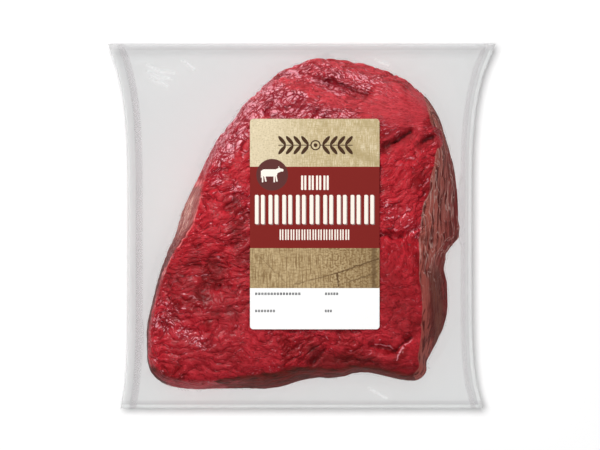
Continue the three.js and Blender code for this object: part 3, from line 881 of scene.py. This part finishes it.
web = film.vertex_groups.new(name="margin")
web.add([point.index for point in film.data.vertices if MARGIN_FOOT < point.co.z < MARGIN_TOP], 1.0,
        "REPLACE")
apply_modifier(film, "SMOOTH", factor=0.6, iterations=60, use_x=False, use_y=False, vertex_group="margin")
hug = film.vertex_groups.new(name="on_the_meat")
for point, slack in zip(film.data.vertices, distances(film, surface(beef))):
    hug.add([point.index], share_of(slack, *CLING), "REPLACE")
apply_modifier(film, "SHRINKWRAP", target=beef, wrap_method="NEAREST_SURFACEPOINT",
               wrap_mode="ABOVE_SURFACE", offset=FILM_GAP, vertex_group="on_the_meat")
apply_modifier(film, "SMOOTH", factor=0.4, iterations=1, vertex_group="on_the_meat")
take_in_hand(film)
bpy.ops.object.shade_smooth()
print("film of", len(film.data.polygons), "faces")

# %% Measure where it hangs free
LOOSE = (0.45, 1.3)  # mm off the meat, film begins to hang free and does so wholly
FLAT = (0.6, 0.85)  # the margin counts as hanging where its direction's upward part rises through this range


hangs = []
for point, off_meat in zip(film.data.vertices, distances(film, surface(beef))):
    in_margin = MARGIN_FOOT < point.co.z < MARGIN_TOP
    hangs.append(max(share_of(abs(point.normal.z), *FLAT) * in_margin, share_of(off_meat, *LOOSE)))
store(film, "hangs", hangs)
print("film hangs free at", sum(share > 0.5 for share in hangs), "of", len(hangs), "points")

# %% [markdown]
# Where the film lies wet on the meat it can hardly be seen. Where it hangs clear it scatters some light and
# looks faintly milky, so the haze follows the distance to the meat that the last step stored. All the rest
# of the film is left perfectly clear, with no gloss of its own, because the shine that is seen comes off the
# meat, as its wet gloss and its painted highlights. The weld shows as a greyer stripe round the edge, and a
# few small crumples are painted whiter, as painted glints.

# %% Clear film
FILM_HAZE = 0.3  # share of light that one layer of loose film scatters
WET_ABOVE = (10.8, 14)  # mm, and above these heights it lies wet in every fold
FILM_TINT = paint(250, 252, 252)
WELD_TINT = paint(226, 224, 226)
WELDS = {  # how far in a welded stripe runs and half its width, in mm, its strength, and the haze beyond it
    "from_side_rims": ((7.4, 2.2, 1.0, 0.0), (5.6, 1.6, 0.9, 0.2)),  # at the left and right edges
    "from_end_rims": ((3.6, 1.2, 0.45, 0.2), (2.5, 1.6, 0.6, 0.0)),  # at the near and far edges
}
SEALED = (2.6, 1.8)  # mm, the haze beyond the stripe begins and is full this far from the edge
# painted glints: the film is made whiter along a few crumples
CRUMPLE_GLINT_HAZE = 0.42
CRUMPLE_WIDTH = (0.1, 1.3)  # mm
CRUMPLES = [
    ((-96, 101), (-88, 96)), ((-88, 96), (-79, 94.5)), ((-96, 96.5), (-88, 92)), ((-88, 92), (-80, 91)),
    ((-94, 92), (-84, 86.5)), ((-74, 103), (-67.5, 97.5)), ((46, 103), (54, 100)), ((41, -101), (52, -107))]

clear_film, tree, shell = new_finish("clear_film")
at = in_mm(tree, put(tree, "ShaderNodeTexCoord", output="Object"))
x, y, z = split(tree, at)
weld = sealed = 0.0
for name, across in (("from_side_rims", x), ("from_end_rims", y)):
    inward = read(tree, name)
    runs, half, strength, whiter = [
        ramp(tree, across, -1, 1, first, last) for first, last in zip(*WELDS[name])]
    off_stripe = calc(tree, "DIVIDE", calc(tree, "ABSOLUTE", minus(tree, inward, runs)), half)
    weld = highest(tree, weld, times(tree, ramp(tree, off_stripe, 0.6, 1.3, 1.0, 0.0), strength))
    sealed = highest(tree, sealed, times(tree, ramp(tree, inward, *SEALED), whiter))
bent = vector(tree, "ADD", at, shaken(tree, at, 14, (3, 3, 0)))
crumple_glints = times(tree, beside_any(tree, bent, [(*line, *CRUMPLE_WIDTH) for line in CRUMPLES]),
                 ramp(tree, clouds(tree, at, 6), 0.3, 0.52), CRUMPLE_GLINT_HAZE)
haze = times(tree, plus(tree, crumple_glints, FILM_HAZE, sealed), read(tree, "hangs"),
             ramp(tree, z, *WET_ABOVE, 1.0, 0.0))
plug(tree, shell, {"Base Color": painted(tree, FILM_TINT, (weld, WELD_TINT)), "Roughness": 0.15})
clear = put(tree, "ShaderNodeBsdfTransparent")
mixed = put(tree, "ShaderNodeMixShader", {0: haze, 1: clear, 2: shell.outputs[0]})
plug(tree, tree.nodes["Material Output"], {"Surface": mixed})
film.data.materials.append(clear_film)
print("clear film:", len(tree.nodes), "nodes")

# %% [markdown]
# ## The label
# A slip of coated paper, stuck on the front of the pouch. It is the top sheet of the label's solid, made
# thinner.

# %% Label
LABEL_PAPER = 0.15 * MM  # thick, with its glue
LABEL_DROP = 0.6 * MM  # the solid floats this far above the film

label = copy_of_solid("label", "label_paper")
pick(label, "FACE", lambda f: f.normal.z < 0.5)
bpy.ops.mesh.delete(type="FACE")
bpy.ops.mesh.select_all(action="SELECT")
bpy.ops.mesh.subdivide(number_cuts=2)
bpy.ops.transform.translate(value=(0, 0, -LABEL_DROP))
bpy.ops.object.mode_set(mode="OBJECT")
apply_modifier(label, "SOLIDIFY", thickness=LABEL_PAPER, offset=-1.0)
take_in_hand(label)
bpy.ops.object.shade_smooth_by_angle(angle=math.radians(30))
print("label of", len(label.data.polygons), "faces")

# %% [markdown]
# ## The label's print
# The print is fields of colour and plain shapes: a cloth-like ground, a dark red band, a wooden ground and a
# white panel. Every shape is a mask worked out from the distance to a box or a circle, in millimetres from
# the middle of the label, so it stays sharp at any size. Words are only hinted at, by plain blocks.


# %% Masks for print
def inside_box(tree, at, centre, size, corner=0.0, turn=0.0):
    """1 inside a box with round corners, 0 outside; turn is in degrees."""
    off = vector(tree, "SUBTRACT", at, (*centre, 0))
    if turn:
        off = put(tree, "ShaderNodeVectorRotate", {"Vector": off, "Angle": -math.radians(turn)},
                  rotation_type="Z_AXIS")
    straight = (size[0] / 2 - corner, size[1] / 2 - corner, 0)
    past = vector(tree, "SUBTRACT", vector(tree, "ABSOLUTE", off), straight)
    past = vector(tree, "MAXIMUM", vector(tree, "MULTIPLY", past, (1, 1, 0)), (0, 0, 0))
    return calc(tree, "LESS_THAN", vector(tree, "LENGTH", past), max(corner, 0.01))


def inside_circle(tree, at, centre, radius):
    off = vector(tree, "MULTIPLY", vector(tree, "SUBTRACT", at, (*centre, 0)), (1, 1, 0))
    return calc(tree, "LESS_THAN", vector(tree, "LENGTH", off), radius)


def row_of_strokes(tree, at, centre, size, count, stroke):
    """Pairs of upright strokes, count pairs side by side, that together fill a box."""
    pitch = size[0] / count
    off = vector(tree, "SUBTRACT", at, (*centre, 0))
    x, y = split(tree, off, (0, 1))
    from_gap = calc(tree, "PINGPONG", plus(tree, x, size[0] / 2), pitch / 2)
    inset = 0.15 * pitch
    folded = put(tree, "ShaderNodeCombineXYZ", {0: from_gap, 1: y})
    strokes = inside_box(tree, folded, (inset + stroke / 2, 0), (stroke, size[1]), 0.3 * stroke)
    return times(tree, strokes, inside_box(tree, off, (0, 0), (size[0], size[1] + 1)))


# %% Where the print lies, and its colours
LABEL_CENTRE = (7.9, 1.2)  # mm
CLOTH_FROM = 35.4  # the fields' lower edges, from the middle of the label up
BAND_FROM = -14.9
WOOD_FROM = -39.6

CLOTH = paint(196, 176, 134)
CLOTH_LIGHT = paint(222, 206, 172)
CLOTH_PALE = paint(236, 222, 192)
CLOTH_DARK = paint(166, 146, 100)
BAND_RED = paint(126, 24, 18)
WOOD = paint(176, 150, 108)
WOOD_LIGHT = paint(200, 176, 134)
WOOD_DARK = paint(126, 98, 60)
CRACK = paint(92, 66, 38)
PANEL_WHITE = paint(254, 254, 253)
CREAM = paint(252, 242, 230)
SHADE_GREY = paint(150, 128, 124)
INK_BROWN = paint(66, 40, 20)
BADGE_BROWN = paint(92, 44, 42)
INK_GREY = paint(84, 84, 88)

paper, tree, shell = new_finish("printed_paper")
at = in_mm(tree, put(tree, "ShaderNodeTexCoord", output="Object"))
at = vector(tree, "MULTIPLY", vector(tree, "SUBTRACT", at, (*LABEL_CENTRE, 0)), (1, 1, 0))
along, up = split(tree, at, (0, 1))


# %% The cloth-like ground
def threads(size, detail=3.0):
    return put(tree, "ShaderNodeTexNoise",
               {"Vector": vector(tree, "DIVIDE", at, (*size, 1)), "Scale": 1.0, "Detail": detail})


cloth = painted(
    tree, CLOTH,
    (ramp(tree, threads((0.6, 5)), 0.4, 0.68), CLOTH_LIGHT),
    (ramp(tree, threads((5, 0.6)), 0.48, 0.72, 0.0, 0.6), CLOTH_DARK),
    (ramp(tree, threads((7, 11)), 0.45, 0.75, 0.0, 0.55), CLOTH_DARK),
    (ramp(tree, along, 5, -34, 0.0, 0.55), CLOTH_PALE),
    (ramp(tree, threads((1.1, 0.9), 2.0), 0.5, 0.68, 0.0, 0.4), CLOTH_DARK),
    (beside(tree, at, (18, 46), (41, 38), 0.3, 5.0, 0.5), CLOTH_DARK))
print("cloth:", len(tree.nodes), "nodes")

# %% The wooden ground, rough and cracked toward its right-hand end
CRACKS = [  # both ends, width and depth of colour
    ((14, -30), (14.5, -38), 0.5, 0.9), ((10, -31.5), (39.5, -21.5), 0.45, 0.85),
    ((36.5, -16), (36.5, -39), 1.4, 0.6), ((-12, -37), (10, -31.5), 0.4, 0.5),
    ((20, -36), (38, -30), 0.4, 0.6), ((-34, -20), (-18, -36), 0.3, 0.35)]

knotty = ramp(tree, ramp(tree, along, -12, 22), 0, 1, 0.4, 0.9)
shaky = vector(tree, "ADD", at, shaken(tree, at, 3, (2.4, 2.4, 0)))
wood = painted(
    tree, WOOD,
    (ramp(tree, threads((0.8, 6)), 0.4, 0.66), WOOD_LIGHT),
    (ramp(tree, threads((1.0, 9)), 0.48, 0.68, 0.0, 0.8), WOOD_DARK),
    (ramp(tree, threads((6, 1.0)), 0.5, 0.7, 0.0, 0.5), WOOD_DARK),
    (times(tree, ramp(tree, threads((1.5, 1.2)), 0.46, 0.62), knotty), WOOD_DARK),
    (ramp(tree, along, 6, 42, 0.0, 0.5), WOOD_DARK),
    *[(beside(tree, shaky, start, end, 0.5 * width, 1.5 * width, depth), CRACK)
      for start, end, width, depth in CRACKS])
print("with the wood and", len(CRACKS), "cracks:", len(tree.nodes), "nodes")

# %% The badge, and blocks in place of words
BADGE = (-26.3, 30.4)
BADGE_RADIUS = 9.8
COW = [  # middle, size and turn of each part, from the middle of the badge
    ((-1.7, 1.2), (9.8, 4.4), 0), ((3.6, 2.6), (4.0, 2.6), 24), ((5.4, 3.0), (3.2, 1.7), -12),
    ((-5.9, -2.2), (0.9, 5.0), 0), ((-4.3, -2.0), (0.9, 4.6), 12), ((1.3, -2.2), (0.9, 5.0), 0),
    ((2.6, -2.0), (0.9, 4.6), 10), ((-6.7, 0.4), (0.5, 4.4), 0), ((4.2, 4.6), (0.5, 1.3), 20),
]
WORDS = [  # middle and size of each row, how many pairs of strokes it has, and their width
    ((0.1, 25.5), (18.4, 8.9), 4, 1.25), ((-0.2, 9.0), (76.0, 18.0), 9, 2.2),
    ((-0.2, -6.6), (44.0, 6.5), 13, 0.85)]
ENTRIES = [((-22.8, -43.1), (28.5, 1.6), 15, 0.6), ((10.4, -43.1), (8.6, 1.6), 5, 0.55),
           ((-30.7, -53.7), (12.7, 1.6), 7, 0.55), ((8.4, -53.7), (4.7, 1.6), 3, 0.5)]
SHADE_OFFSET = (0.55, -0.55, 0)  # the large row throws a thin printed shade

cow = highest(tree, *[inside_box(tree, at, (BADGE[0] + x, BADGE[1] + y), size, min(size) * 0.4, turn)
                      for (x, y), size, turn in COW])
words = highest(tree, *[row_of_strokes(tree, at, *row) for row in WORDS])
shade = row_of_strokes(tree, vector(tree, "SUBTRACT", at, SHADE_OFFSET), *WORDS[1])
entries = highest(tree, *[row_of_strokes(tree, at, *row) for row in ENTRIES])
print("a badge and", len(WORDS) + len(ENTRIES), "rows of strokes")

# %% A pair of laurel sprigs: one leaf, mirrored across both middles and repeated along the stem
SPRIG_CENTRE = (0.5, 48.7)
SPRIG_REACH = (4.2, 23.0)  # leaves lie between these distances from the middle
STEM = 0.55
LEAF_PITCH = 4.7
LEAF_SIZE = (3.5, 1.15)  # half its length and half its width
LEAF_OFF_STEM = 2.9
LEAF_TILT = 50
RING = (3.2, 2.4)
DOT = 1.2

outward = vector(tree, "ABSOLUTE", vector(tree, "SUBTRACT", at, (*SPRIG_CENTRE, 0)))
out, off_stem = split(tree, outward, (0, 1))
along_leaf = minus(tree, calc(tree, "MODULO", minus(tree, out, SPRIG_REACH[0]), LEAF_PITCH), LEAF_PITCH / 2)
leaf_place = put(tree, "ShaderNodeCombineXYZ", {0: along_leaf, 1: minus(tree, off_stem, LEAF_OFF_STEM)})
leaf_place = put(tree, "ShaderNodeVectorRotate", {"Vector": leaf_place, "Angle": -math.radians(LEAF_TILT)},
                 rotation_type="Z_AXIS")
leaf_radius = vector(tree, "LENGTH", vector(tree, "DIVIDE", leaf_place, (*LEAF_SIZE, 1)))
leaf = times(tree, calc(tree, "LESS_THAN", leaf_radius, 1.0),
             calc(tree, "GREATER_THAN", out, SPRIG_REACH[0]), calc(tree, "LESS_THAN", out, SPRIG_REACH[1]))
stem = times(tree, inside_box(tree, outward, (SPRIG_REACH[1] / 2, 0), (SPRIG_REACH[1], STEM), 0.2),
             calc(tree, "GREATER_THAN", out, RING[0]))
ring = minus(tree, *[inside_circle(tree, at, SPRIG_CENTRE, radius) for radius in RING])
sprigs = highest(tree, leaf, stem, ring, inside_circle(tree, at, SPRIG_CENTRE, DOT))
print("sprigs from", *SPRIG_REACH, "mm out")

# %% Lay the print together
colour = painted(
    tree, PANEL_WHITE,
    (calc(tree, "GREATER_THAN", up, WOOD_FROM), wood),
    (calc(tree, "GREATER_THAN", up, BAND_FROM), BAND_RED),
    (calc(tree, "GREATER_THAN", up, CLOTH_FROM), cloth),
    (sprigs, INK_BROWN),
    (inside_circle(tree, at, BADGE, BADGE_RADIUS), BADGE_BROWN),
    (shade, SHADE_GREY),
    (highest(tree, cow, words), CREAM),
    (entries, INK_GREY))
plug(tree, shell, {"Base Color": colour, "Roughness": 0.55, "Specular IOR Level": 0.2})
label.data.materials.append(paper)
print("print:", len(tree.nodes), "nodes")

# %% [markdown]
# ## Lighting the pieces apart
# Light linking is what lets each lamp light, and be shaded by, only the pieces it is meant for. The scrim is
# made as the rest is: the rim of the pouch's solid is selected, pressed flat, filled with one face, and
# inset once, so that it can shade more at its rim than further in. It is part of the studio and no part of
# the pack.

# %% The scrim
SCRIM_SHADES = (0.98, 0.65)  # shares of the table lamp's light that it stops at its rim, and further in
SCRIM_RIM = 4.2 * MM
SCRIM_HEIGHT = 8 * MM

scrim = copy_of_solid("pouch", "scrim")
pick(scrim, "FACE", lambda f: not on_rim(f))
bpy.ops.mesh.delete(type="FACE")
bpy.ops.mesh.select_all(action="SELECT")
bpy.ops.transform.resize(value=(1, 1, 0), center_override=(0, 0, SCRIM_HEIGHT))
bpy.ops.mesh.remove_doubles(threshold=0.05 * MM)
bpy.ops.mesh.edge_face_add()
for number, shade in enumerate(SCRIM_SHADES):
    veil, tree, shell = new_finish("scrim_veil_" + str(number))
    plug(tree, shell, {"Alpha": shade})
    scrim.data.materials.append(veil)
bpy.ops.mesh.inset(thickness=SCRIM_RIM)
scrim.active_material_index = 1
bpy.ops.object.material_slot_assign()
bpy.ops.object.mode_set(mode="OBJECT")
for seen_by in ("camera", "diffuse", "glossy", "transmission", "volume_scatter"):
    setattr(scrim, "visible_" + seen_by, False)
print("scrim of", len(scrim.data.polygons), "faces")


# %% Which lamp lights what
def link_light(lamp, part, things):
    """Lets a lamp light, or be shaded by, only the given things."""
    group = bpy.data.collections.new(lamp.name + "_" + part)
    for thing in things:
        group.objects.link(thing)
    setattr(lamp.light_linking, part + "_collection", group)


pack = [beef, film, label]
for name, lit, in_the_way in (("key_lamp", [beef, label], pack), ("fill_lamp", [beef, label], pack),
                              ("shine_lamp", [beef], pack), ("film_lamp", [film], [table]),
                              ("table_lamp", [table], [scrim])):
    link_light(lamps[name], "receiver", lit)
    link_light(lamps[name], "blocker", in_the_way)

# %% [markdown]
# ## Putting the pack together
# The pack has no moving parts, so all three pieces ride on its one body. The joint and the film both stand
# in for the pouch's solid, and the label for its own.

# %% Ride and replace
for piece, node, finish in ((beef, "pouch", "packed_beef"), (film, "pouch", "clear_film"),
                            (label, "label", "label_paper")):
    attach(piece, "root")
    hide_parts(node)
